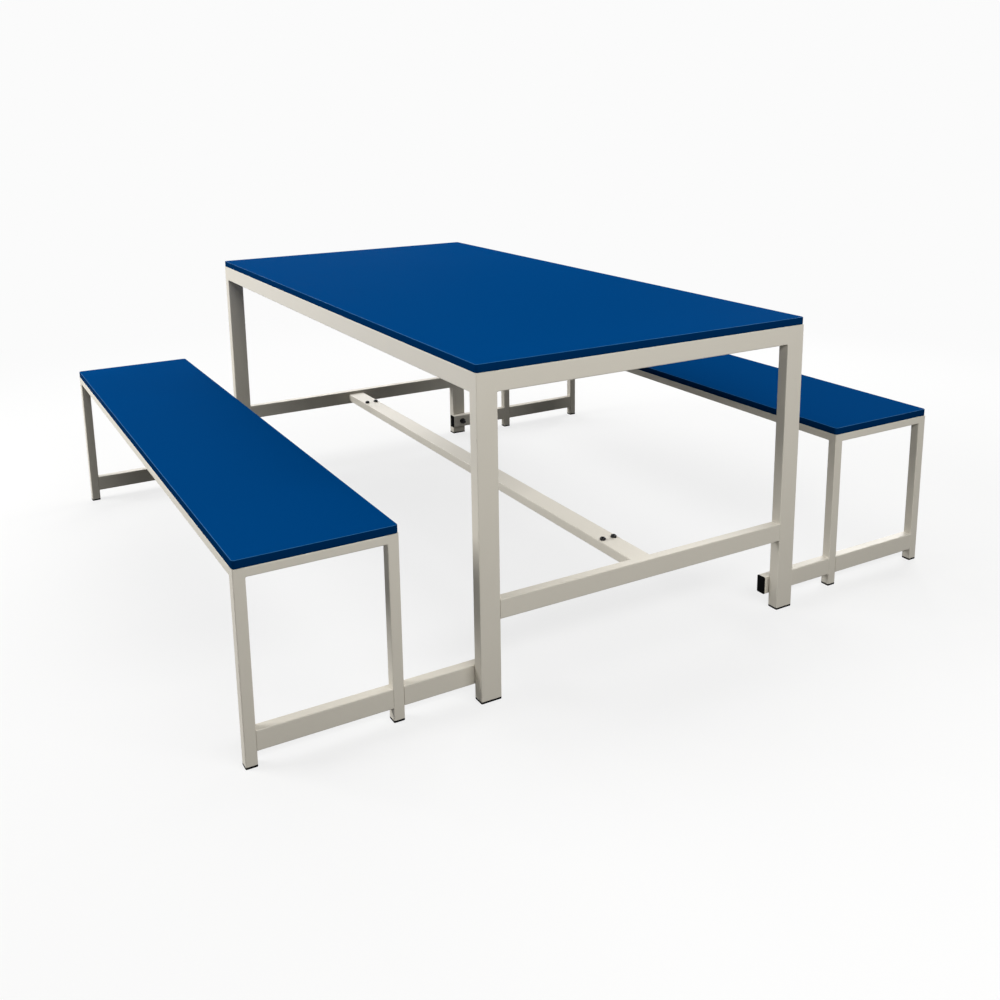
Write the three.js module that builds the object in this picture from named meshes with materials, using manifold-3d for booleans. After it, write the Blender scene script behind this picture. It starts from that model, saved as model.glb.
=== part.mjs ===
// Canteen table with a bench on each long side, on welded frames of steel tube.
// Millimetres. X runs across the table, Y along it and Z up.
// The origin is on the floor, under the table's middle.

import * as THREE from "three";
import { mergeVertices } from "three/addons/utils/BufferGeometryUtils.js";
import Module from "manifold-3d";

// Table
const TABLE_LENGTH = 1800;
const TABLE_WIDTH = 900;
const TABLE_HEIGHT = 750;
const TABLE_LEG_WIDTH = 50;
const TABLE_LEG_DEPTH = 30;
const TABLE_RAIL_HEIGHT = 45;
const TABLE_RAIL_DEPTH = 30;
const LOWER_RAIL_HEIGHT = 45;
const LOWER_RAIL_DEPTH = 25;
const LOWER_RAIL_UNDERSIDE = 186;

// Benches
const SEAT_HEIGHT = 435;
const SEAT_WIDTH = 340;
const BENCH_GAP = 165;
const BENCH_TUBE = 25;
const SEAT_RAIL_HEIGHT = 20;
const BENCH_RAIL_HEIGHT = 45;
const BENCH_RAIL_UNDERSIDE = 33;
const ARM_OVERHANG = 14;

// Boards
const BOARD_THICKNESS = 18;
const BOARD_CORNER = 8;
const BOARD_ARRIS = 1.5;

// Tube walls and the round edges of the tubes
const TUBE_WALL = 1.5;
const TUBE_CORNER = 2.5;

// Stretcher, its spigots and their screws
const STRETCHER_WIDTH = 56;
const STRETCHER_HEIGHT = 25;
const SPIGOT_CLEARANCE = 0.3;
const SPIGOT_PAST_SCREWS = 40;
const SCREW_SETBACK = 145;
const SCREW_SPACING = 32;
const SCREW_DIAMETER = 6;
const SCREW_HEAD_DIAMETER = 15;
const SCREW_HEAD_HEIGHT = 6.5;
const SCREW_HOLE_CLEARANCE = 0.4;
const SCREW_TIP = 4;

// Studs that hold the benches' arms to the table's legs
const STUD_DIAMETER = 10;
const STUD_FLANGE_DIAMETER = 22;
const STUD_FLANGE_THICKNESS = 1.7;
const STUD_HOLE_CLEARANCE = 0.4;
const ARM_PLAY = 0.3;
const WASHER_DIAMETER = 21;
const WASHER_THICKNESS = 2;
const NUT_ACROSS_FLATS = 17;
const NUT_HEIGHT = 8;
const THREAD_END = 12;

// Plastic caps in the tube ends
const FOOT_THICKNESS = 5;
const FOOT_PLUG = 20;
const ARM_CAP_THICKNESS = 3;
const ARM_CAP_PLUG = 12;
const PLUG_CLEARANCE = 0.3;
const SMALLEST_CORNER = 0.4;

// Facets of round edges and round pieces
const TUBE_CORNER_STEPS = 1;
const BOARD_CORNER_STEPS = 3;
const ROUND_SIDES = 24;
const NUT_SIDES = 6;

const ENDS = { near: -1, far: 1 };
const SIDES = { left: -1, right: 1 };

const paint = new THREE.MeshStandardMaterial({ color: 0xcdc8bb, roughness: 0.5, metalness: 0.1 });
const laminate = new THREE.MeshStandardMaterial({ color: 0x004480, roughness: 0.45, metalness: 0 });
const plastic = new THREE.MeshStandardMaterial({ color: 0x17181a, roughness: 0.6, metalness: 0 });
const blackSteel = new THREE.MeshStandardMaterial({ color: 0x1c1c1e, roughness: 0.4, metalness: 0.8 });

const frameTop = TABLE_HEIGHT - BOARD_THICKNESS;
const seatFrameTop = SEAT_HEIGHT - BOARD_THICKNESS;
const benchLength = TABLE_LENGTH - 2 * (TABLE_LEG_DEPTH + STUD_FLANGE_THICKNESS + ARM_PLAY);
const legCentreX = (TABLE_WIDTH - TABLE_LEG_WIDTH) / 2;
const lowerRailCentreZ = LOWER_RAIL_UNDERSIDE + LOWER_RAIL_HEIGHT / 2;
const lowerRailInnerY = TABLE_LENGTH / 2 - LOWER_RAIL_DEPTH;
const benchRailCentreZ = BENCH_RAIL_UNDERSIDE + BENCH_RAIL_HEIGHT / 2;
const screwY = lowerRailInnerY - SCREW_SETBACK;

const wasm = await Module();
wasm.setup();

function toSolid(geometry) {
  geometry.deleteAttribute("normal");
  geometry.deleteAttribute("uv");
  const merged = mergeVertices(geometry);
  const vertProperties = merged.attributes.position.array;
  const triVerts = Uint32Array.from(merged.index.array);
  return new wasm.Manifold(new wasm.Mesh({ numProp: 3, vertProperties, triVerts }));
}

function toGeometry(solid) {
  const { vertProperties, triVerts } = solid.getMesh();
  const geometry = new THREE.BufferGeometry();
  geometry.setAttribute("position", new THREE.BufferAttribute(vertProperties, 3));
  geometry.setIndex(new THREE.BufferAttribute(triVerts, 1));
  geometry.computeVertexNormals();
  return geometry;
}

function joined(geometries) {
  const [first, ...others] = geometries.map(toSolid);
  return toGeometry(others.reduce((whole, piece) => whole.add(piece), first));
}

function drilled(geometry, drills) {
  const whole = toSolid(geometry);
  return toGeometry(drills.map(toSolid).reduce((rest, drill) => rest.subtract(drill), whole));
}

// A rectangle about the origin with its four corners rounded.
function roundedRectangle(width, height, corner) {
  const x = width / 2 - corner;
  const y = height / 2 - corner;
  const outline = new THREE.Shape();
  outline.absarc(x, y, corner, 0, Math.PI / 2);
  outline.absarc(-x, y, corner, Math.PI / 2, Math.PI);
  outline.absarc(-x, -y, corner, Math.PI, 1.5 * Math.PI);
  outline.absarc(x, -y, corner, 1.5 * Math.PI, 2 * Math.PI);
  return outline;
}

// A straight length of bar about the origin, given by its size along X, Y and Z and the axis it runs along.
// With a wall it is a tube that is open at both ends.
function bar(axis, size, corner, wall) {
  const [across, up] = { x: ["y", "z"], y: ["z", "x"], z: ["x", "y"] }[axis];
  const section = roundedRectangle(size[across], size[up], corner);
  if (wall) {
    const innerCorner = Math.max(corner - wall, SMALLEST_CORNER);
    section.holes.push(roundedRectangle(size[across] - 2 * wall, size[up] - 2 * wall, innerCorner));
  }
  const depth = size[axis];
  const geometry = new THREE.ExtrudeGeometry(section, {
    depth,
    bevelEnabled: false,
    curveSegments: TUBE_CORNER_STEPS,
  });
  geometry.translate(0, 0, -depth / 2);
  const unit = {
    x: new THREE.Vector3(1, 0, 0),
    y: new THREE.Vector3(0, 1, 0),
    z: new THREE.Vector3(0, 0, 1),
  };
  return geometry.applyMatrix4(new THREE.Matrix4().makeBasis(unit[across], unit[up], unit[axis]));
}

function tube(axis, x, y, z) {
  return bar(axis, { x, y, z }, TUBE_CORNER, TUBE_WALL);
}

// A round bar along Y, by the stretch of Y that it fills.
function roundBar(diameter, from, to, sides = ROUND_SIDES) {
  const geometry = new THREE.CylinderGeometry(diameter / 2, diameter / 2, Math.abs(to - from), sides);
  return geometry.translate(0, (from + to) / 2, 0);
}

// A board with rounded corners and broken edges. Its underside is at Z 0.
function board(width, length) {
  const geometry = new THREE.ExtrudeGeometry(roundedRectangle(width, length, BOARD_CORNER), {
    depth: BOARD_THICKNESS - 2 * BOARD_ARRIS,
    bevelThickness: BOARD_ARRIS,
    bevelSize: BOARD_ARRIS,
    bevelOffset: -BOARD_ARRIS,
    bevelSegments: 1,
    curveSegments: BOARD_CORNER_STEPS,
  });
  return geometry.translate(0, 0, BOARD_ARRIS);
}

// A cap for the end of a tube of the given section: a flange as large as the tube and a plug inside it.
// The flange starts at 0 on the axis and the plug points in the stated direction.
function cap(axis, section, flange, plug, direction) {
  const inset = 2 * (TUBE_WALL + PLUG_CLEARANCE);
  const inside = Object.fromEntries(Object.entries(section).map(([name, size]) => [name, size - inset]));
  const reach = flange + plug;
  const place = (length) => ({ x: 0, y: 0, z: 0, [axis]: (direction * length) / 2 });
  const outer = bar(axis, { ...section, [axis]: flange }, TUBE_CORNER);
  const inner = bar(axis, { ...inside, [axis]: reach }, Math.max(TUBE_CORNER - TUBE_WALL, SMALLEST_CORNER));
  const outerAt = place(flange);
  const innerAt = place(reach);
  outer.translate(outerAt.x, outerAt.y, outerAt.z);
  inner.translate(innerAt.x, innerAt.y, innerAt.z);
  return joined([outer, inner]);
}

// A stud that is welded by its flange to the leg's face at Y 0, with the washer and nut beyond the arm.
function pivotStud(direction) {
  const flangeEnd = STUD_FLANGE_THICKNESS;
  const washerStart = flangeEnd + ARM_PLAY + BENCH_TUBE + ARM_PLAY;
  const nutStart = washerStart + WASHER_THICKNESS;
  const nutEnd = nutStart + NUT_HEIGHT;
  const nutDiameter = NUT_ACROSS_FLATS / Math.cos(Math.PI / NUT_SIDES);
  return joined([
    roundBar(STUD_DIAMETER, 0, direction * (nutEnd + THREAD_END)),
    roundBar(STUD_FLANGE_DIAMETER, 0, direction * flangeEnd),
    roundBar(WASHER_DIAMETER, direction * washerStart, direction * nutStart),
    roundBar(nutDiameter, direction * nutStart, direction * nutEnd, NUT_SIDES),
  ]);
}

// A short tube inside the stretcher's end, with the two screws that pass through the stretcher into it.
// Y 0 is the face of the lower rail and Z 0 the middle of the stretcher's height.
function stretcherSpigot(direction) {
  const lost = 2 * (TUBE_WALL + SPIGOT_CLEARANCE);
  const length = SCREW_SETBACK + SPIGOT_PAST_SCREWS;
  const height = STRETCHER_HEIGHT - lost;
  const body = tube("y", STRETCHER_WIDTH - lost, length, height);
  body.translate(0, (direction * length) / 2, 0);
  const headStart = STRETCHER_HEIGHT / 2 + SPIGOT_CLEARANCE;
  const shankStart = height / 2 - TUBE_WALL - SCREW_TIP;
  const screws = [-1, 1].flatMap((side) => {
    const shank = roundBar(SCREW_DIAMETER, shankStart, headStart + SCREW_HEAD_HEIGHT / 2);
    const head = roundBar(SCREW_HEAD_DIAMETER, headStart, headStart + SCREW_HEAD_HEIGHT);
    return [shank, head].map((piece) =>
      piece.rotateX(Math.PI / 2).translate((side * SCREW_SPACING) / 2, direction * SCREW_SETBACK, 0),
    );
  });
  return joined([body, ...screws]);
}

// The long tube between the lower rails, with a hole in its top wall for each screw.
function stretcher() {
  const body = tube("y", STRETCHER_WIDTH, 2 * lowerRailInnerY, STRETCHER_HEIGHT);
  const holes = Object.values(ENDS).flatMap((end) =>
    [-1, 1].map((side) => {
      const hole = roundBar(SCREW_DIAMETER + 2 * SCREW_HOLE_CLEARANCE, 0, STRETCHER_HEIGHT);
      return hole.rotateX(Math.PI / 2).translate((side * SCREW_SPACING) / 2, end * screwY, 0);
    }),
  );
  return drilled(body, holes);
}

// The tube from a bench's inner leg to past the table's leg, drilled for the stud.
// X 0 is the face of the bench's leg.
function benchArm(side) {
  const length = BENCH_GAP + TABLE_LEG_WIDTH + ARM_OVERHANG - ARM_CAP_THICKNESS;
  const body = tube("x", length, BENCH_TUBE, BENCH_RAIL_HEIGHT);
  body.translate((-side * length) / 2, 0, 0);
  const hole = roundBar(STUD_DIAMETER + 2 * STUD_HOLE_CLEARANCE, -BENCH_TUBE, BENCH_TUBE);
  hole.translate(-side * (BENCH_GAP + TABLE_LEG_WIDTH / 2), 0, 0);
  return drilled(body, [hole]);
}

function add(group, name, material, geometry, x, y, z) {
  const mesh = new THREE.Mesh(geometry, material);
  mesh.name = name;
  mesh.position.set(x, y, z);
  group.add(mesh);
}

function buildTable() {
  const table = new THREE.Group();
  const put = (...piece) => add(table, ...piece);
  const railLength = TABLE_WIDTH - 2 * TABLE_LEG_WIDTH;
  const railZ = frameTop - TABLE_RAIL_HEIGHT / 2;
  const legHeight = frameTop - FOOT_THICKNESS;

  put("table_top", laminate, board(TABLE_WIDTH, TABLE_LENGTH), 0, 0, frameTop);

  for (const [end, endSign] of Object.entries(ENDS)) {
    const legY = (endSign * (TABLE_LENGTH - TABLE_LEG_DEPTH)) / 2;
    const innerFaceY = endSign * (TABLE_LENGTH / 2 - TABLE_LEG_DEPTH);
    for (const [side, sideSign] of Object.entries(SIDES)) {
      const legX = sideSign * legCentreX;
      const leg = tube("z", TABLE_LEG_WIDTH, TABLE_LEG_DEPTH, legHeight);
      const section = { x: TABLE_LEG_WIDTH, y: TABLE_LEG_DEPTH };
      const foot = cap("z", section, FOOT_THICKNESS, FOOT_PLUG, 1);
      put(`table_leg_${end}_${side}`, paint, leg, legX, legY, FOOT_THICKNESS + legHeight / 2);
      put(`table_foot_${end}_${side}`, plastic, foot, legX, legY, 0);
      put(`pivot_stud_${end}_${side}`, blackSteel, pivotStud(-endSign), legX, innerFaceY, benchRailCentreZ);
    }
    const endRail = tube("x", railLength, TABLE_RAIL_DEPTH, TABLE_RAIL_HEIGHT);
    const endRailY = (endSign * (TABLE_LENGTH - TABLE_RAIL_DEPTH)) / 2;
    const lowerRail = tube("x", railLength, LOWER_RAIL_DEPTH, LOWER_RAIL_HEIGHT);
    const lowerRailY = (endSign * (TABLE_LENGTH - LOWER_RAIL_DEPTH)) / 2;
    const spigotY = endSign * lowerRailInnerY;
    put(`table_end_rail_${end}`, paint, endRail, 0, endRailY, railZ);
    put(`table_lower_rail_${end}`, paint, lowerRail, 0, lowerRailY, lowerRailCentreZ);
    put(`stretcher_spigot_${end}`, blackSteel, stretcherSpigot(-endSign), 0, spigotY, lowerRailCentreZ);
  }

  for (const [side, sideSign] of Object.entries(SIDES)) {
    const sideRail = tube("y", TABLE_RAIL_DEPTH, TABLE_LENGTH - 2 * TABLE_LEG_DEPTH, TABLE_RAIL_HEIGHT);
    const sideRailX = (sideSign * (TABLE_WIDTH - TABLE_RAIL_DEPTH)) / 2;
    put(`table_side_rail_${side}`, paint, sideRail, sideRailX, 0, railZ);
  }

  put("stretcher", paint, stretcher(), 0, 0, lowerRailCentreZ);
  return table;
}

function buildBench(side, sideSign) {
  const bench = new THREE.Group();
  const put = (name, ...rest) => add(bench, `${side}_bench_${name}`, ...rest);
  const seatX = sideSign * (TABLE_WIDTH / 2 + BENCH_GAP + SEAT_WIDTH / 2);
  const armX = sideSign * (TABLE_WIDTH / 2 + BENCH_GAP);
  const armEndX = sideSign * (TABLE_WIDTH / 2 - TABLE_LEG_WIDTH - ARM_OVERHANG);
  const railLength = SEAT_WIDTH - 2 * BENCH_TUBE;
  const seatRailZ = seatFrameTop - SEAT_RAIL_HEIGHT / 2;
  const legHeight = seatFrameTop - FOOT_THICKNESS;
  const legOffset = (SEAT_WIDTH - BENCH_TUBE) / 2;
  const rows = { inner: seatX - sideSign * legOffset, outer: seatX + sideSign * legOffset };

  put("seat", laminate, board(SEAT_WIDTH, benchLength), seatX, 0, seatFrameTop);

  for (const [end, endSign] of Object.entries(ENDS)) {
    const frameY = (endSign * (benchLength - BENCH_TUBE)) / 2;
    for (const [row, rowX] of Object.entries(rows)) {
      const leg = tube("z", BENCH_TUBE, BENCH_TUBE, legHeight);
      const foot = cap("z", { x: BENCH_TUBE, y: BENCH_TUBE }, FOOT_THICKNESS, FOOT_PLUG, 1);
      put(`leg_${end}_${row}`, paint, leg, rowX, frameY, FOOT_THICKNESS + legHeight / 2);
      put(`foot_${end}_${row}`, plastic, foot, rowX, frameY, 0);
    }
    const seatRail = tube("x", railLength, BENCH_TUBE, SEAT_RAIL_HEIGHT);
    const lowerRail = tube("x", railLength, BENCH_TUBE, BENCH_RAIL_HEIGHT);
    const armSection = { y: BENCH_TUBE, z: BENCH_RAIL_HEIGHT };
    const armCap = cap("x", armSection, ARM_CAP_THICKNESS, ARM_CAP_PLUG, sideSign);
    put(`seat_end_rail_${end}`, paint, seatRail, seatX, frameY, seatRailZ);
    put(`lower_rail_${end}`, paint, lowerRail, seatX, frameY, benchRailCentreZ);
    put(`arm_${end}`, paint, benchArm(sideSign), armX, frameY, benchRailCentreZ);
    put(`arm_cap_${end}`, plastic, armCap, armEndX, frameY, benchRailCentreZ);
  }

  for (const [row, rowX] of Object.entries(rows)) {
    const sideRail = tube("y", BENCH_TUBE, benchLength - 2 * BENCH_TUBE, SEAT_RAIL_HEIGHT);
    put(`seat_side_rail_${row}`, paint, sideRail, rowX, 0, seatRailZ);
  }
  return bench;
}

const canteenTable = new THREE.Group();
canteenTable.add(buildTable());
for (const [side, sideSign] of Object.entries(SIDES)) {
  canteenTable.add(buildBench(side, sideSign));
}

export default canteenTable;
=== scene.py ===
import math

import bmesh
import bpy
from mathutils import Matrix, Quaternion, Vector


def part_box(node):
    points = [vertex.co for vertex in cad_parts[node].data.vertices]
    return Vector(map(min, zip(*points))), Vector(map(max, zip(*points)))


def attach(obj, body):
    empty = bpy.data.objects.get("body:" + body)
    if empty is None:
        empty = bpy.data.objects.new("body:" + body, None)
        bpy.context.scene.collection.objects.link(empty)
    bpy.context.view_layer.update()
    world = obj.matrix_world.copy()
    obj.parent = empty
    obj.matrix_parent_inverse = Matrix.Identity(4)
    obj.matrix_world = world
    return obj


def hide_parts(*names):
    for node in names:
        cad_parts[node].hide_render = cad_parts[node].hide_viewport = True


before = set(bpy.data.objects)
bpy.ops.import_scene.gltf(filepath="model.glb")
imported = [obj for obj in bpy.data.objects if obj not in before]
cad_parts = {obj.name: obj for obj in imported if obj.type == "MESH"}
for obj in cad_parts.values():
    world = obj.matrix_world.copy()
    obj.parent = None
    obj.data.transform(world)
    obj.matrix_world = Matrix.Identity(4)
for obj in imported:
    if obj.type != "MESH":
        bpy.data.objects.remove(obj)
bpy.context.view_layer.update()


# Camera
# It stands off the table's near left corner, a little above the top, and looks slightly down.
# The picture's uprights stay nearly straight, so the lens is shifted instead of tilted further.
camera_place = Vector((-1.4321, -2.7257, 1.2508))
camera_azimuth = math.radians(-29.65)
camera_elevation = math.radians(12.27)
camera_roll = math.radians(-0.78)
camera_lens = 38.465
camera_shift = -0.16

camera = bpy.data.objects.new("camera", bpy.data.cameras.new("camera"))
bpy.context.scene.collection.objects.link(camera)
camera_back = Vector((
    math.sin(camera_azimuth) * math.cos(camera_elevation),
    -math.cos(camera_azimuth) * math.cos(camera_elevation),
    math.sin(camera_elevation),
))
camera.data.lens = camera_lens
camera.data.shift_y = camera_shift
camera.location = camera_place
camera.rotation_mode = "QUATERNION"
camera.rotation_quaternion = (-camera_back).to_track_quat("-Z", "Y") @ Quaternion((0, 0, 1), camera_roll)
bpy.context.scene.camera = camera
bpy.context.scene.view_settings.view_transform = "Standard"


# Studio
# A pale floor that runs out to a white surround, under softboxes overhead and on all four sides.
# The white is for the eye and for reflections alone, so it throws no light on the object.
surround_white = (0.965, 0.965, 0.965, 1)
ambient_strength = 0.03
floor_size = 30.0
floor_seen_colour = (0.78, 0.78, 0.77, 1)
floor_bounce_colour = (0.13, 0.13, 0.124, 1)
floor_shadow_share = 0.25
floor_fade_start = 1.6
floor_fade_end = 3.6
softboxes = {
    "overhead": {"place": (-0.2, -0.2, 3.4), "aim": (0, 0, 0.4), "size": (3.2, 3.2), "power": 36},
    "front": {"place": (-0.1, -3.3, 2.3), "aim": (0, -0.9, 0.3), "size": (3.4, 0.8), "power": 82},
    "left": {"place": (-4.2, 1.6, 2.6), "aim": (-0.4, 0, 0.4), "size": (2.6, 1.8), "power": 205},
    "right": {"place": (4.2, 1.6, 2.6), "aim": (0.4, 0, 0.4), "size": (2.6, 1.8), "power": 165},
    "back": {"place": (0.3, 4.6, 2.4), "aim": (0, 0.4, 0.4), "size": (3.6, 2.2), "power": 110},
}


def seen_white(nodes, links):
    """A factor that is 1 for what the eye sees directly, in reflections or through glass."""
    path = nodes.new("ShaderNodeLightPath")
    seen = path.outputs["Is Camera Ray"]
    for ray in ("Is Glossy Ray", "Is Transmission Ray"):
        either = nodes.new("ShaderNodeMath")
        either.operation = "MAXIMUM"
        links.new(seen, either.inputs[0])
        links.new(path.outputs[ray], either.inputs[1])
        seen = either.outputs[0]
    return seen


world = bpy.data.worlds.new("surround")
bpy.context.scene.world = world
world.use_nodes = True
nodes, links = world.node_tree.nodes, world.node_tree.links
nodes.clear()
ambient = nodes.new("ShaderNodeBackground")
ambient.inputs["Color"].default_value = (1, 1, 1, 1)
ambient.inputs["Strength"].default_value = ambient_strength
white = nodes.new("ShaderNodeBackground")
white.inputs["Color"].default_value = surround_white
shown = nodes.new("ShaderNodeMixShader")
world_out = nodes.new("ShaderNodeOutputWorld")
links.new(seen_white(nodes, links), shown.inputs[0])
links.new(ambient.outputs[0], shown.inputs[1])
links.new(white.outputs[0], shown.inputs[2])
links.new(shown.outputs[0], world_out.inputs["Surface"])

floor_paint = bpy.data.materials.new("floor_paint")
floor_paint.use_nodes = True
nodes, links = floor_paint.node_tree.nodes, floor_paint.node_tree.links
nodes.clear()
lit = nodes.new("ShaderNodeBsdfDiffuse")
lit.inputs["Color"].default_value = floor_seen_colour
bounced = nodes.new("ShaderNodeBsdfDiffuse")
bounced.inputs["Color"].default_value = floor_bounce_colour
white = nodes.new("ShaderNodeEmission")
white.inputs["Color"].default_value = surround_white
place = nodes.new("ShaderNodeTexCoord")
reach = nodes.new("ShaderNodeVectorMath")
reach.operation = "LENGTH"
fade = nodes.new("ShaderNodeMapRange")
fade.interpolation_type = "SMOOTHSTEP"
fade.inputs["From Min"].default_value = floor_fade_start
fade.inputs["From Max"].default_value = floor_fade_end
fade.inputs["To Min"].default_value = 1 - floor_shadow_share
fade.inputs["To Max"].default_value = 1
faded = nodes.new("ShaderNodeMixShader")
shown = nodes.new("ShaderNodeMixShader")
floor_out = nodes.new("ShaderNodeOutputMaterial")
links.new(place.outputs["Object"], reach.inputs[0])
links.new(reach.outputs["Value"], fade.inputs["Value"])
links.new(fade.outputs[0], faded.inputs[0])
links.new(lit.outputs[0], faded.inputs[1])
links.new(white.outputs[0], faded.inputs[2])
links.new(seen_white(nodes, links), shown.inputs[0])
links.new(bounced.outputs[0], shown.inputs[1])
links.new(faded.outputs[0], shown.inputs[2])
links.new(shown.outputs[0], floor_out.inputs["Surface"])

floor_mesh = bpy.data.meshes.new("floor")
half = floor_size / 2
floor_corners = [(-half, -half, 0), (half, -half, 0), (half, half, 0), (-half, half, 0)]
floor_mesh.from_pydata(floor_corners, [], [(0, 1, 2, 3)])
floor_mesh.materials.append(floor_paint)
floor = bpy.data.objects.new("floor", floor_mesh)
bpy.context.scene.collection.objects.link(floor)

for name, box in softboxes.items():
    light = bpy.data.lights.new(f"softbox_{name}", "AREA")
    light.shape = "RECTANGLE"
    light.size, light.size_y = box["size"]
    light.energy = box["power"]
    lamp = bpy.data.objects.new(f"softbox_{name}", light)
    bpy.context.scene.collection.objects.link(lamp)
    lamp.visible_camera = False
    lamp.location = box["place"]
    lamp.rotation_mode = "QUATERNION"
    lamp.rotation_quaternion = (Vector(box["aim"]) - lamp.location).to_track_quat("-Z", "Y")


# Frame tubes
# Rectangular steel tube, cold formed with small round edges, cut square and welded into frames.
# All of it is sprayed with a warm light grey powder and baked, which leaves a fine orange peel.
tube_wall = 0.0015
tube_corner = 0.0025
tube_corner_steps = 5
merge_distance = 0.00001
smooth_angle = math.radians(40)
frame_grey = (0.68, 0.64, 0.555, 1)
frame_roughness = 0.46
frame_sheen = 0.25
peel_size = 0.0016
peel_depth = 0.00004


def finish_group():
    """Shader group for a made surface: a slow drift of tone and gloss, and a fine grain for the bump."""
    group = bpy.data.node_groups.new("made_surface", "ShaderNodeTree")
    for label, kind in (
        ("Color", "NodeSocketColor"),
        ("Drift size", "NodeSocketFloat"),
        ("Drift", "NodeSocketFloat"),
        ("Roughness", "NodeSocketFloat"),
        ("Roughness drift", "NodeSocketFloat"),
        ("Grain size", "NodeSocketFloat"),
    ):
        group.interface.new_socket(label, in_out="INPUT", socket_type=kind)
    for label, kind in (
        ("Color", "NodeSocketColor"),
        ("Roughness", "NodeSocketFloat"),
        ("Height", "NodeSocketFloat"),
    ):
        group.interface.new_socket(label, in_out="OUTPUT", socket_type=kind)
    nodes, links = group.nodes, group.links
    given = nodes.new("NodeGroupInput")
    result = nodes.new("NodeGroupOutput")
    place = nodes.new("ShaderNodeTexCoord")
    noise_middle = 0.5

    def noise(size, detail):
        scale = nodes.new("ShaderNodeMath")
        scale.operation = "DIVIDE"
        scale.inputs[0].default_value = 1
        texture = nodes.new("ShaderNodeTexNoise")
        texture.inputs["Detail"].default_value = detail
        links.new(given.outputs[size], scale.inputs[1])
        links.new(place.outputs["Object"], texture.inputs["Vector"])
        links.new(scale.outputs[0], texture.inputs["Scale"])
        return texture.outputs["Fac"]

    def about(centre, spread, wave):
        """A wave with the given spread about an input, or about 1 if there is none."""
        offset = nodes.new("ShaderNodeMath")
        offset.operation = "SUBTRACT"
        offset.inputs[1].default_value = noise_middle
        sum_up = nodes.new("ShaderNodeMath")
        sum_up.operation = "MULTIPLY_ADD"
        links.new(wave, offset.inputs[0])
        links.new(offset.outputs[0], sum_up.inputs[0])
        links.new(given.outputs[spread], sum_up.inputs[1])
        if centre is None:
            sum_up.inputs[2].default_value = 1
        else:
            links.new(given.outputs[centre], sum_up.inputs[2])
        return sum_up.outputs[0]

    drift = noise("Drift size", detail=4)
    tone = nodes.new("ShaderNodeVectorMath")
    tone.operation = "SCALE"
    links.new(given.outputs["Color"], tone.inputs[0])
    links.new(about(None, "Drift", drift), tone.inputs["Scale"])
    links.new(tone.outputs[0], result.inputs["Color"])
    links.new(about("Roughness", "Roughness drift", drift), result.inputs["Roughness"])
    links.new(noise("Grain size", detail=2), result.inputs["Height"])
    return group


made_surface = finish_group()


def finish(
    name, colour, sheen, roughness, grain_size, grain_depth,
    metallic=0, drift=0.05, drift_size=0.12, roughness_drift=0.12,
):
    """A material with the made surface's drift and grain."""
    material = bpy.data.materials.new(name)
    material.use_nodes = True
    nodes, links = material.node_tree.nodes, material.node_tree.links
    shader = nodes["Principled BSDF"]
    shader.inputs["Specular IOR Level"].default_value = sheen
    shader.inputs["Metallic"].default_value = metallic
    surface = nodes.new("ShaderNodeGroup")
    surface.node_tree = made_surface
    surface.inputs["Color"].default_value = colour
    surface.inputs["Drift size"].default_value = drift_size
    surface.inputs["Drift"].default_value = drift
    surface.inputs["Roughness"].default_value = roughness
    surface.inputs["Roughness drift"].default_value = roughness_drift
    surface.inputs["Grain size"].default_value = grain_size
    bump = nodes.new("ShaderNodeBump")
    bump.inputs["Strength"].default_value = 1
    bump.inputs["Distance"].default_value = grain_depth
    links.new(surface.outputs["Color"], shader.inputs["Base Color"])
    links.new(surface.outputs["Roughness"], shader.inputs["Roughness"])
    links.new(surface.outputs["Height"], bump.inputs["Height"])
    links.new(bump.outputs["Normal"], shader.inputs["Normal"])
    return material


powder_coat = finish(
    "powder_coat", frame_grey, frame_sheen, frame_roughness,
    grain_size=peel_size, grain_depth=peel_depth,
)


def geometry_tree(name, sockets):
    """An empty geometry tree with named inputs and one geometry output."""
    tree = bpy.data.node_groups.new(name, "GeometryNodeTree")
    for label, kind in sockets.items():
        tree.interface.new_socket(label, in_out="INPUT", socket_type=f"NodeSocket{kind}")
    tree.interface.new_socket("Geometry", in_out="OUTPUT", socket_type="NodeSocketGeometry")
    return tree, tree.nodes.new("NodeGroupInput"), tree.nodes.new("NodeGroupOutput")


def node(tree, kind, inputs=None, **settings):
    """A node with its settings, and its inputs by name or number, each linked or set."""
    made = tree.nodes.new(kind)
    for setting, value in settings.items():
        setattr(made, setting, value)
    for socket, value in (inputs or {}).items():
        if isinstance(value, bpy.types.NodeSocket):
            tree.links.new(value, made.inputs[socket])
        else:
            made.inputs[socket].default_value = value
    return made


def math_node(tree, operation, first, second):
    return node(tree, "ShaderNodeMath", {0: first, 1: second}, operation=operation).outputs[0]


def end_tree(tree, result, geometry, material):
    """Makes instances real, rounds the shading up to the smooth angle and sets the material."""
    real = node(tree, "GeometryNodeRealizeInstances", {"Geometry": geometry})
    angle = node(tree, "GeometryNodeInputMeshEdgeAngle")
    soft = node(
        tree,
        "FunctionNodeCompare",
        {0: angle.outputs["Unsigned Angle"], 1: smooth_angle},
        operation="LESS_THAN",
    )
    shaded = node(
        tree,
        "GeometryNodeSetShadeSmooth",
        {"Geometry": real.outputs[0], "Shade Smooth": soft.outputs[0]},
        domain="EDGE",
    )
    coated = node(tree, "GeometryNodeSetMaterial", {"Geometry": shaded.outputs[0], "Material": material})
    tree.links.new(coated.outputs[0], result.inputs["Geometry"])


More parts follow.
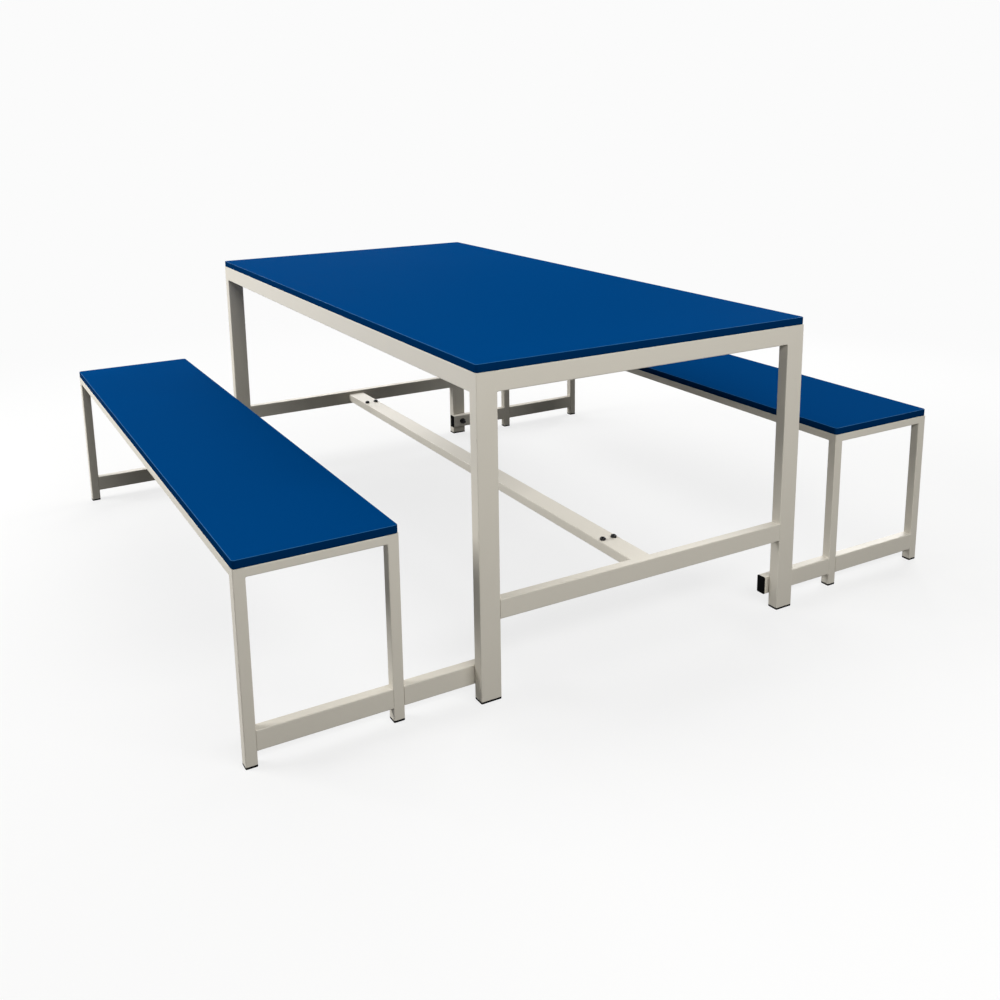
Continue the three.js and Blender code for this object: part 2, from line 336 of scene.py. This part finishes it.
def grown_mesh(tree, inputs, start=None):
    """The plain mesh that a tree grows from a starting mesh and its named inputs."""
    carrier = bpy.data.objects.new("carrier", start or bpy.data.meshes.new("carrier"))
    bpy.context.scene.collection.objects.link(carrier)
    modifier = carrier.modifiers.new("tree", "NODES")
    modifier.node_group = tree
    for socket in tree.interface.items_tree:
        if socket.in_out == "INPUT" and socket.name in inputs:
            modifier[socket.identifier] = inputs[socket.name]
    weighted = carrier.modifiers.new("even_shading", "WEIGHTED_NORMAL")
    weighted.keep_sharp = True
    graph = bpy.context.evaluated_depsgraph_get()
    mesh = bpy.data.meshes.new_from_object(carrier.evaluated_get(graph))
    carrier.modifiers.clear()
    bpy.data.objects.remove(carrier)
    return mesh


def place_piece(name, mesh, body, slot, *nodes_replaced):
    """Puts a finished mesh in the scene, on its body, and hides the nodes that it stands for. The slot is
    not used.
    """
    mesh.name = name
    piece = bpy.data.objects.new(name, mesh)
    bpy.context.scene.collection.objects.link(piece)
    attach(piece, body)
    if nodes_replaced:
        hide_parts(*nodes_replaced)
    return piece


def tube_tree():
    """A hollow rectangular tube with round edges, along Z about the origin."""
    tree, given, result = geometry_tree("rectangular_tube", {
        "Width": "Float", "Depth": "Float", "Length": "Float",
        "Wall": "Float", "Corner": "Float", "Corner steps": "Int", "Material": "Material",
    })
    size = given.outputs

    def outline(width, depth, corner):
        shape = node(tree, "GeometryNodeCurvePrimitiveQuadrilateral", {"Width": width, "Height": depth})
        fillet = {"Curve": shape.outputs[0], "Radius": corner, "Count": size["Corner steps"]}
        return node(tree, "GeometryNodeFilletCurve", fillet, mode="POLY").outputs[0]

    both_walls = math_node(tree, "MULTIPLY", size["Wall"], 2)
    inner = outline(
        math_node(tree, "SUBTRACT", size["Width"], both_walls),
        math_node(tree, "SUBTRACT", size["Depth"], both_walls),
        math_node(tree, "SUBTRACT", size["Corner"], size["Wall"]),
    )
    rims = node(tree, "GeometryNodeJoinGeometry")
    tree.links.new(outline(size["Width"], size["Depth"], size["Corner"]), rims.inputs[0])
    tree.links.new(inner, rims.inputs[0])
    section = node(tree, "GeometryNodeFillCurve", {"Curve": rims.outputs[0]})
    upward = node(tree, "ShaderNodeCombineXYZ", {"Z": size["Length"]})
    walls = node(tree, "GeometryNodeExtrudeMesh", {
        "Mesh": section.outputs[0], "Offset": upward.outputs[0], "Individual": False,
    })
    base = node(tree, "GeometryNodeFlipFaces", {"Mesh": section.outputs[0]})
    closed = node(tree, "GeometryNodeJoinGeometry")
    tree.links.new(walls.outputs["Mesh"], closed.inputs[0])
    tree.links.new(base.outputs[0], closed.inputs[0])
    merged = node(tree, "GeometryNodeMergeByDistance", {
        "Geometry": closed.outputs[0], "Distance": merge_distance,
    })
    down = math_node(tree, "MULTIPLY", size["Length"], -0.5)
    centre = node(tree, "ShaderNodeCombineXYZ", {"Z": down})
    moved = node(tree, "GeometryNodeTransform", {
        "Geometry": merged.outputs[0], "Translation": centre.outputs[0],
    })
    end_tree(tree, result, moved.outputs[0], size["Material"])
    return tree


rectangular_tube = tube_tree()

# The turns that lay a tube's width, depth and length along Y, Z, X, then along Z, X, Y, then along X, Y, Z.
tube_turns = (
    Matrix(((0, 0, 1, 0), (1, 0, 0, 0), (0, 1, 0, 0), (0, 0, 0, 1))),
    Matrix(((0, 1, 0, 0), (0, 0, 1, 0), (1, 0, 0, 0), (0, 0, 0, 1))),
    Matrix.Identity(4),
)


def tube_mesh(low, high, material):
    """A tube that fills a box, along the box's longest side."""
    size = high - low
    along = max(range(3), key=lambda axis: size[axis])
    mesh = grown_mesh(rectangular_tube, {
        "Width": size[(along + 1) % 3],
        "Depth": size[(along + 2) % 3],
        "Length": size[along],
        "Wall": tube_wall,
        "Corner": tube_corner,
        "Corner steps": tube_corner_steps,
        "Material": material,
    })
    mesh.transform(Matrix.Translation((low + high) / 2) @ tube_turns[along])
    return mesh


ends = ("near", "far")
sides = ("left", "right")
rows = ("inner", "outer")
table_tubes = ["stretcher"]
table_tubes += [f"table_{rail}_{end}" for rail in ("end_rail", "lower_rail") for end in ends]
table_tubes += [f"table_side_rail_{side}" for side in sides]
table_tubes += [f"table_leg_{end}_{side}" for end in ends for side in sides]
bench_tubes = [f"{piece}_{end}" for piece in ("seat_end_rail", "lower_rail", "arm") for end in ends]
bench_tubes += [f"seat_side_rail_{row}" for row in rows]
bench_tubes += [f"leg_{end}_{row}" for end in ends for row in rows]
tubes = {name: "table" for name in table_tubes}
tubes.update({f"{side}_bench_{name}": f"{side}_bench" for side in sides for name in bench_tubes})

for name, body in tubes.items():
    place_piece(f"{name}_tube", tube_mesh(*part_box(name), powder_coat), body, "frame_paint", name)


# Weld beads
# Each tube end is welded all round to the leg that it meets, before painting, with a rippled bead.
# On flush faces the groove at the leg's round edge is filled and dressed level under the boards.
# At the lower rails and the arms it stays open and shows as a dark line.
bead_radius = 0.0016
bead_proud = 0.0006
bead_corner = 0.002
bead_corner_steps = 4
bead_sides = 8
bead_ripple = 0.0042
ripple_steps = 4
ripple_height = 0.16
flush_within = 0.0005
bead_sunk = 0.0004
groove_depth = 0.0014
grooved = ("lower_rail", "arm")
dressed_below = 0.00002
dressed_short = 0.001


def bead_tree():
    """A rippled bead along each loop of the starting mesh."""
    tree, given, result = geometry_tree("weld_bead", {
        "Geometry": "Geometry", "Radius": "Float", "Corner": "Float",
        "Ripple": "Float", "Ripple height": "Float", "Material": "Material",
    })
    size = given.outputs
    path = node(tree, "GeometryNodeMeshToCurve", {"Mesh": size["Geometry"]})
    rounded = {
        "Curve": path.outputs[0], "Radius": size["Corner"],
        "Count": bead_corner_steps, "Limit Radius": True,
    }
    eased = node(tree, "GeometryNodeFilletCurve", rounded, mode="POLY")
    spaced = {"Curve": eased.outputs[0], "Length": math_node(tree, "DIVIDE", size["Ripple"], ripple_steps)}
    even = node(tree, "GeometryNodeResampleCurve", spaced, mode="LENGTH")
    run = node(tree, "GeometryNodeSplineParameter").outputs["Length"]
    turn = math_node(tree, "MULTIPLY", math_node(tree, "DIVIDE", run, size["Ripple"]), math.tau)
    wave = math_node(tree, "MULTIPLY", math_node(tree, "SINE", turn, 0), size["Ripple height"])
    swell = node(tree, "GeometryNodeSetCurveRadius", {
        "Curve": even.outputs[0], "Radius": math_node(tree, "ADD", wave, 1),
    })
    section = node(tree, "GeometryNodeCurvePrimitiveCircle", {
        "Resolution": bead_sides, "Radius": size["Radius"],
    })
    bead = node(tree, "GeometryNodeCurveToMesh", {
        "Curve": swell.outputs[0], "Profile Curve": section.outputs[0],
    })
    end_tree(tree, result, bead.outputs[0], size["Material"])
    return tree


weld_bead = bead_tree()


def keeps_groove(tube):
    """Whether the groove beside the leg stays open, as it does at the lower rails and the arms."""
    return any(kind in tube for kind in grooved)


def bead_loop(tube, leg):
    """The four corners of the bead where a tube's end meets a leg's side."""
    low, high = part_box(tube)
    leg_low, leg_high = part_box(leg)
    along = max(range(3), key=lambda axis: high[axis] - low[axis])
    at = low[along] if leg_low[along] < low[along] else high[along]
    first, second = (along + 1) % 3, (along + 2) % 3
    inset = bead_radius * (1 + ripple_height) + (groove_depth if keeps_groove(tube) else bead_sunk)

    def sides_of(axis):
        flush_low = abs(low[axis] - leg_low[axis]) < flush_within
        flush_high = abs(high[axis] - leg_high[axis]) < flush_within
        return (
            low[axis] + inset if flush_low else low[axis] - bead_proud,
            high[axis] - inset if flush_high else high[axis] + bead_proud,
        )

    (a, b), (c, d) = sides_of(first), sides_of(second)
    corners = []
    for one, two in ((a, c), (b, c), (b, d), (a, d)):
        point = Vector((0, 0, 0))
        point[along], point[first], point[second] = at, one, two
        corners.append(point)
    return corners


def dressed_strips(tube, leg):
    """The boxes that fill the groove beside a leg's round edge, one for each flush face."""
    low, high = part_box(tube)
    leg_low, leg_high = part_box(leg)
    along = max(range(3), key=lambda axis: high[axis] - low[axis])
    leg_is_below = leg_low[along] < low[along]
    across, upward = (along + 1) % 3, (along + 2) % 3
    strips = []
    for axis, other in ((across, upward), (upward, across)):
        for face, leg_face, inward in ((low[axis], leg_low[axis], 1), (high[axis], leg_high[axis], -1)):
            if abs(face - leg_face) > flush_within:
                continue
            first, last = Vector(low), Vector(high)
            first[along] = low[along] if leg_is_below else high[along]
            last[along] = first[along] + (-tube_corner if leg_is_below else tube_corner)
            first[axis] = face + inward * dressed_below
            last[axis] = face + inward * tube_corner
            first[other] += dressed_short
            last[other] -= dressed_short
            strips.append(((first + last) / 2, last - first))
    return strips


welds = {"table": []}
for end in ends:
    for side in sides:
        leg = f"table_leg_{end}_{side}"
        welds["table"] += [(f"table_{rail}_{end}", leg) for rail in ("end_rail", "lower_rail")]
        welds["table"].append((f"table_side_rail_{side}", leg))
for side in sides:
    bench = f"{side}_bench"
    welds[bench] = [(f"{bench}_arm_{end}", f"{bench}_leg_{end}_inner") for end in ends]
    for end in ends:
        for row in rows:
            leg = f"{bench}_leg_{end}_{row}"
            welds[bench] += [(f"{bench}_{rail}_{end}", leg) for rail in ("seat_end_rail", "lower_rail")]
            welds[bench].append((f"{bench}_seat_side_rail_{row}", leg))

for body, pairs in welds.items():
    loops = bpy.data.meshes.new("bead_loops")
    corners = [corner for pair in pairs for corner in bead_loop(*pair)]
    edges = [(4 * k + n, 4 * k + (n + 1) % 4) for k in range(len(pairs)) for n in range(4)]
    loops.from_pydata(corners, edges, [])
    beads = grown_mesh(weld_bead, {
        "Radius": bead_radius, "Corner": bead_corner, "Ripple": bead_ripple,
        "Ripple height": ripple_height, "Material": powder_coat,
    }, loops)
    dressed = bmesh.new()
    dressed.from_mesh(beads)
    for tube, leg in pairs:
        if keeps_groove(tube):
            continue
        for centre, size in dressed_strips(tube, leg):
            extent = Matrix.Diagonal(Vector((abs(length) for length in size))).to_4x4()
            bmesh.ops.create_cube(dressed, matrix=Matrix.Translation(centre) @ extent)
    dressed.to_mesh(beads)
    dressed.free()
    place_piece(f"{body}_weld_beads", beads, body, "frame_paint")


# Boards
# The top and the two seats: board faced with matt blue laminate, with a darker edge strip glued round.
# The trimmer eases the corners. A fine pale line along each arris is a painted highlight, standing in for
# the light that the eased edge catches.
laminate_blue = (0.0, 0.0437, 0.168, 1)
edge_blue = (0.0, 0.024, 0.092, 1)
# Lighter blue for the painted highlight line along the arrises
highlight_line_blue = (0.03, 0.12, 0.27, 1)
laminate_sheen = 0.0002
highlight_line_sheen = 0.02
board_corner = 0.008
board_ease = 0.0015
# Depth from the top and bottom faces that takes the painted highlight
highlight_line_depth = 0.0005
board_corner_steps = 8
board_ease_steps = 4


def rounded_rectangle(width, depth, corner, steps):
    """Points round a rectangle about the origin, with its corners as arcs."""
    points = []
    for quarter, (sign_x, sign_y) in enumerate(((1, 1), (-1, 1), (-1, -1), (1, -1))):
        for step in range(steps + 1):
            turn = math.pi / 2 * (quarter + step / steps)
            x = sign_x * (width / 2 - corner) + corner * math.cos(turn)
            y = sign_y * (depth / 2 - corner) + corner * math.sin(turn)
            points.append((x, y))
    return points


def skin(rings, capped=True):
    """A closed mesh over rings of (points, height). Uncapped, the last ring joins the first."""
    mesh = bpy.data.meshes.new("skin")
    count = len(rings[0][0])
    points = [(x, y, height) for ring, height in rings for x, y in ring]
    faces = []
    for level in range(len(rings) - 1 if capped else len(rings)):
        below, above = count * level, count * ((level + 1) % len(rings))
        for n in range(count):
            following = (n + 1) % count
            faces.append((below + n, below + following, above + following, above + n))
    if capped:
        faces.append(tuple(range(count - 1, -1, -1)))
        faces.append(tuple(range(count * (len(rings) - 1), count * len(rings))))
    mesh.from_pydata(points, [], faces)
    mesh.polygons.foreach_set("use_smooth", [True] * len(faces))
    mesh.set_sharp_from_angle(angle=smooth_angle)
    return mesh


laminate = finish(
    "blue_laminate", laminate_blue, laminate_sheen,
    roughness=0.62, grain_size=0.0007, grain_depth=0.00003, drift=0.06, drift_size=0.3,
)
edge_strip = finish(
    "blue_edge_strip", edge_blue, laminate_sheen,
    roughness=0.5, grain_size=0.0005, grain_depth=0.00002,
)
# Painted highlight: a pale blue line at the top and bottom arrises, lighter than the laminate and the strip
painted_highlight_line = finish(
    "laminate_cut_line", highlight_line_blue, highlight_line_sheen,
    roughness=0.6, grain_size=0.0006, grain_depth=0.00002,
)


def board_mesh(low, high):
    """A board that fills a box: laminate above and below, a painted highlight line at each arris, the strip
    between.
    """
    size = high - low
    levels = []
    for step in range(board_ease_steps + 1):
        turn = math.pi / 2 * step / board_ease_steps
        levels.append((board_ease * (1 - math.sin(turn)), board_ease * (1 - math.cos(turn))))
    profile = levels + [(inset, size.z - height) for inset, height in reversed(levels)]
    rings = []
    for inset, height in profile:
        width, length = size.x - 2 * inset, size.y - 2 * inset
        rings.append((rounded_rectangle(width, length, board_corner - inset, board_corner_steps), height))
    mesh = skin(rings)
    for material in (laminate, edge_strip, painted_highlight_line):
        mesh.materials.append(material)
    for face in mesh.polygons:
        depth = min(face.center.z, size.z - face.center.z)
        if len(face.vertices) == 4:
            # Faces near the top or bottom arris take the painted highlight, and the rest of the edge takes
            # the strip
            face.material_index = 2 if depth < highlight_line_depth else 1
    mesh.transform(Matrix.Translation(((low.x + high.x) / 2, (low.y + high.y) / 2, low.z)))
    return mesh


place_piece("table_top_board", board_mesh(*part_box("table_top")), "table", "blue_laminate", "table_top")
for side in sides:
    seat = f"{side}_bench_seat"
    place_piece(f"{seat}_board", board_mesh(*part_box(seat)), f"{side}_bench", "blue_laminate", seat)


# Board screws
# Black pan head steel screws go up through the rails into the boards, spaced evenly along each rail.
# Their heads sit against the rails' undersides.
screw_sides = 24
board_screw_head = 0.0095
board_screw_height = 0.0026
board_screw_socket = 0.004
board_screw_margin = 0.12
long_rail_screws = 5
short_rail_screws = 2
steel_black = (0.007, 0.007, 0.0075, 1)
steel_sheen = 0.3

# Outlines of a head and of its socket, as shares of the width and of the height
dome_profile = ((1, 0), (1, 0.35), (0.95, 0.62), (0.83, 0.86), (0.62, 1))
socket_profile = ((1.08, 1), (1, 0.93), (0.98, 0.25))

black_steel = finish(
    "blackened_steel", steel_black, steel_sheen,
    roughness=0.42, grain_size=0.0006, grain_depth=0.00002, metallic=0.4, drift=0.3, drift_size=0.01,
)


def circle(diameter):
    """Points round a circle about the origin."""
    turns = [math.tau * n / screw_sides for n in range(screw_sides)]
    return [(diameter / 2 * math.cos(turn), diameter / 2 * math.sin(turn)) for turn in turns]


def hexagon(across_flats):
    """A hexagon with as many points as the circles, so that a skin can run from one to the other."""
    sixth = math.tau / 6
    points = []
    for n in range(screw_sides):
        turn = math.tau * n / screw_sides
        reach = across_flats / 2 / math.cos((turn + sixth / 2) % sixth - sixth / 2)
        points.append((reach * math.cos(turn), reach * math.sin(turn)))
    return points


def screw_head(diameter, height, socket):
    """A domed head about the origin with its seat at Z 0 and a hexagon socket in its crown."""
    rings = [(circle(share * diameter), rise * height) for share, rise in dome_profile]
    rings += [(hexagon(share * socket), rise * height) for share, rise in socket_profile]
    return skin(rings)


def screw_tree():
    """One screw on each point of the starting mesh, each turned by its own angle."""
    tree, given, result = geometry_tree("screws_in_place", {
        "Geometry": "Geometry", "Screw": "Object", "Seed": "Int", "Material": "Material",
    })
    screw = node(tree, "GeometryNodeObjectInfo", {"Object": given.outputs["Screw"]})
    turn = node(tree, "FunctionNodeRandomValue", {"Seed": given.outputs["Seed"]}, data_type="FLOAT")
    turn.inputs["Max"].default_value = math.tau
    angle = node(tree, "ShaderNodeCombineXYZ", {"Z": next(o for o in turn.outputs if o.enabled)})
    driven = node(tree, "GeometryNodeInstanceOnPoints", {
        "Points": given.outputs["Geometry"],
        "Instance": screw.outputs["Geometry"],
        "Rotation": angle.outputs[0],
    })
    end_tree(tree, result, driven.outputs[0], given.outputs["Material"])
    return tree


screws_in_place = screw_tree()


def screws(points, screw_mesh, seed):
    """The plain mesh of a screw at each point."""
    screw = bpy.data.objects.new("screw", screw_mesh)
    bpy.context.scene.collection.objects.link(screw)
    marks = bpy.data.meshes.new("screw_marks")
    marks.from_pydata(points, [], [])
    mesh = grown_mesh(screws_in_place, {"Screw": screw, "Seed": seed, "Material": black_steel}, marks)
    bpy.data.objects.remove(screw)
    return mesh


def rail_marks(rail, count):
    """Points along the middle of a rail's underside."""
    low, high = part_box(rail)
    along = 0 if high.x - low.x > high.y - low.y else 1
    marks = []
    for n in range(count):
        point = Vector(((low.x + high.x) / 2, (low.y + high.y) / 2, low.z))
        span = high[along] - low[along] - 2 * board_screw_margin
        point[along] = low[along] + board_screw_margin + span * n / (count - 1)
        marks.append(point)
    return marks


downward = Matrix.Rotation(math.pi, 4, "X")
rails = {"table": [(f"table_side_rail_{side}", long_rail_screws) for side in sides]}
rails["table"] += [(f"table_end_rail_{end}", short_rail_screws) for end in ends]
for side in sides:
    bench = f"{side}_bench"
    rails[bench] = [(f"{bench}_seat_side_rail_{row}", long_rail_screws) for row in rows]
for seed, (body, screwed) in enumerate(rails.items()):
    head = screw_head(board_screw_head, board_screw_height, board_screw_socket)
    head.transform(downward)
    marks = [mark for rail, count in screwed for mark in rail_marks(rail, count)]
    place_piece(f"{body}_board_screws", screws(marks, head, seed), body, "black_steel")


# Stretcher spigots and screws
# A short steel tube welded to each lower rail slides into the stretcher's end, held by two black screws.
# The spigots stay hidden in the stretcher. Only the button heads show, side by side near each end.
stretcher_screw_head = 0.015
stretcher_screw_height = 0.0065
stretcher_screw_socket = 0.005
stretcher_screw_spacing = 0.032
stretcher_screw_setback = 0.145
stretcher_screw_seed = 7

stretcher_low, stretcher_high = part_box("stretcher")
stretcher_marks = []
for end, sign in zip(ends, (-1, 1)):
    spigot = f"stretcher_spigot_{end}"
    low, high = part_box(spigot)
    spigot_high = Vector((high.x, high.y, stretcher_high.z - (low.z - stretcher_low.z)))
    spigot_tube = tube_mesh(low, spigot_high, black_steel)
    place_piece(f"{spigot}_tube", spigot_tube, "table", "black_steel", spigot)
    screw_y = sign * (stretcher_high.y - stretcher_screw_setback)
    for offset in (-0.5, 0.5):
        stretcher_marks.append((offset * stretcher_screw_spacing, screw_y, stretcher_high.z))
button_head = screw_head(stretcher_screw_head, stretcher_screw_height, stretcher_screw_socket)
stretcher_screws = screws(stretcher_marks, button_head, stretcher_screw_seed)
place_piece("stretcher_screws", stretcher_screws, "table", "black_steel")


# Pivot studs
# A flanged black steel stud is welded to each leg's inner face and passes through the bench's arm.
# A washer and a nut hold the arm, which turns on the stud. The threaded end stands clear of the nut.
stud_diameter = 0.010
stud_flange = 0.022
stud_flange_thickness = 0.0017
flange_rim_share = 0.7
flange_top_share = 0.95
washer_diameter = 0.021
washer_thickness = 0.002
washer_ease = 0.0003
nut_across_flats = 0.017
nut_height = 0.008
nut_ease = 0.0008
ease_rise = 0.6
stud_thread_end = 0.012
thread_pitch = 0.0015
thread_depth = 0.0007
thread_steps = 24
thread_sides = 4


def thread_tree():
    """A thread's ridge as a spiral along Z."""
    tree, given, result = geometry_tree("thread", {
        "Radius": "Float", "Length": "Float", "Pitch": "Float", "Depth": "Float", "Material": "Material",
    })
    size = given.outputs
    turns = math_node(tree, "DIVIDE", size["Length"], size["Pitch"])
    spiral = node(tree, "GeometryNodeCurveSpiral", {
        "Resolution": thread_steps, "Rotations": turns, "Start Radius": size["Radius"],
        "End Radius": size["Radius"], "Height": size["Length"],
    })
    section = node(tree, "GeometryNodeCurvePrimitiveCircle", {
        "Resolution": thread_sides, "Radius": size["Depth"],
    })
    ridge = node(tree, "GeometryNodeCurveToMesh", {
        "Curve": spiral.outputs[0], "Profile Curve": section.outputs[0], "Fill Caps": True,
    })
    end_tree(tree, result, ridge.outputs[0], size["Material"])
    return tree


thread = thread_tree()


def joined(meshes):
    """One mesh of several, in black steel."""
    whole = bmesh.new()
    for mesh in meshes:
        whole.from_mesh(mesh)
    result = bpy.data.meshes.new("joined")
    whole.to_mesh(result)
    whole.free()
    result.materials.append(black_steel)
    result.set_sharp_from_angle(angle=smooth_angle)
    return result


def ring_of(inner, outer_outline, low, high, ease, outer_diameter):
    """A washer or nut: an outline with eased corners round a plain hole."""
    eased = circle(outer_diameter - 2 * ease)
    return skin([
        (circle(inner), low),
        (eased, low),
        (outer_outline, low + ease * ease_rise),
        (outer_outline, high - ease * ease_rise),
        (eased, high),
        (circle(inner), high),
    ], capped=False)


def stud_mesh(length):
    """A stud along Z from the leg's face at 0, with its flange, washer and nut."""
    nut_end = length - stud_thread_end
    nut_start = nut_end - nut_height
    washer_start = nut_start - washer_thickness
    core = stud_diameter - 2 * thread_depth
    shank = skin([
        (circle(stud_flange), 0),
        (circle(stud_flange), flange_rim_share * stud_flange_thickness),
        (circle(flange_top_share * stud_flange), stud_flange_thickness),
        (circle(stud_diameter), stud_flange_thickness),
        (circle(stud_diameter), nut_start),
        (circle(core), nut_start),
        (circle(core), length - thread_depth),
        (circle(core - 2 * thread_depth), length),
    ])
    washer_outline = circle(washer_diameter)
    nut_outline = hexagon(nut_across_flats)
    washer = ring_of(stud_diameter, washer_outline, washer_start, nut_start, washer_ease, washer_diameter)
    nut = ring_of(core, nut_outline, nut_start, nut_end, nut_ease, nut_across_flats)
    ridge = grown_mesh(thread, {
        "Radius": core / 2, "Length": stud_thread_end - 2 * thread_depth, "Pitch": thread_pitch,
        "Depth": thread_depth, "Material": black_steel,
    })
    ridge.transform(Matrix.Translation((0, 0, nut_end)))
    return joined([shank, washer, nut, ridge])


for end, sign in zip(ends, (-1, 1)):
    for side in sides:
        stud = f"pivot_stud_{end}_{side}"
        low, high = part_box(stud)
        face = low.y if sign < 0 else high.y
        mesh = stud_mesh(high.y - low.y)
        lean = Matrix.Rotation(sign * math.pi / 2, 4, "X")
        mesh.transform(Matrix.Translation(((low.x + high.x) / 2, face, (low.z + high.z) / 2)) @ lean)
        place_piece(f"{stud}_set", mesh, "table", "black_steel", stud)


# Foot caps
# Moulded black inserts close the foot of every leg: a base as large as the tube, and a ribbed plug inside.
# They are pressed in. The base's lower edge is rounded, and the surface has the mould's fine grain.
plastic_black = (0.006, 0.006, 0.0065, 1)
plastic_sheen = 0.005
foot_base = 0.005
foot_edge = 0.0006
plug_gap = 0.0003
plug_rib = 0.004
plug_rib_step = 0.0008
plug_rib_lead = 0.1
cap_smallest_corner = 0.0004
cap_steps = 4

black_plastic = finish(
    "moulded_black", plastic_black, plastic_sheen,
    roughness=0.55, grain_size=0.0009, grain_depth=0.00005, drift=0.3, drift_size=0.03,
)


def cap_mesh(width, depth, base, reach):
    """A cap along Z: its base from 0, rounded at the outer edge, and its ribbed plug above."""
    def outline(inset):
        corner = max(tube_corner - inset, cap_smallest_corner)
        return rounded_rectangle(width - 2 * inset, depth - 2 * inset, corner, cap_steps)

    rings = []
    for step in range(cap_steps + 1):
        turn = math.pi / 2 * step / cap_steps
        rings.append((outline(foot_edge * (1 - math.sin(turn))), foot_edge * (1 - math.cos(turn))))
    rings.append((outline(0), base))
    tight = tube_wall + plug_gap
    rings.append((outline(tight + plug_rib_step), base))
    level = base + plug_rib
    while level + plug_rib / 2 < reach:
        rings.append((outline(tight + plug_rib_step), level))
        rings.append((outline(tight), level + plug_rib_lead * plug_rib))
        rings.append((outline(tight + plug_rib_step), level + plug_rib / 2))
        level += plug_rib
    rings.append((outline(tight + plug_rib_step), reach))
    mesh = skin(rings)
    mesh.materials.append(black_plastic)
    return mesh


feet = {f"table_foot_{end}_{side}": "table" for end in ends for side in sides}
for side in sides:
    bench = f"{side}_bench"
    feet.update({f"{bench}_foot_{end}_{row}": bench for end in ends for row in rows})
for foot, body in feet.items():
    low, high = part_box(foot)
    mesh = cap_mesh(high.x - low.x, high.y - low.y, foot_base, high.z - low.z)
    mesh.transform(Matrix.Translation(((low.x + high.x) / 2, (low.y + high.y) / 2, low.z)))
    place_piece(f"{foot}_cap", mesh, body, "black_plastic", foot)


# Arm caps
# The same kind of insert closes the free end of each bench's arm, just past the table's leg.
# It faces the middle of the table, so the plug points outwards, back into the arm.
arm_cap_base = 0.003

for side, sign in zip(sides, (-1, 1)):
    for end in ends:
        cap = f"{side}_bench_arm_cap_{end}"
        low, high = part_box(cap)
        mesh = cap_mesh(high.z - low.z, high.y - low.y, arm_cap_base, high.x - low.x)
        face = high.x if sign < 0 else low.x
        mesh.transform(
            Matrix.Translation((face, (low.y + high.y) / 2, (low.z + high.z) / 2))
            @ Matrix.Rotation(sign * math.pi / 2, 4, "Y")
        )
        place_piece(f"{cap}_insert", mesh, f"{side}_bench", "black_plastic", cap)
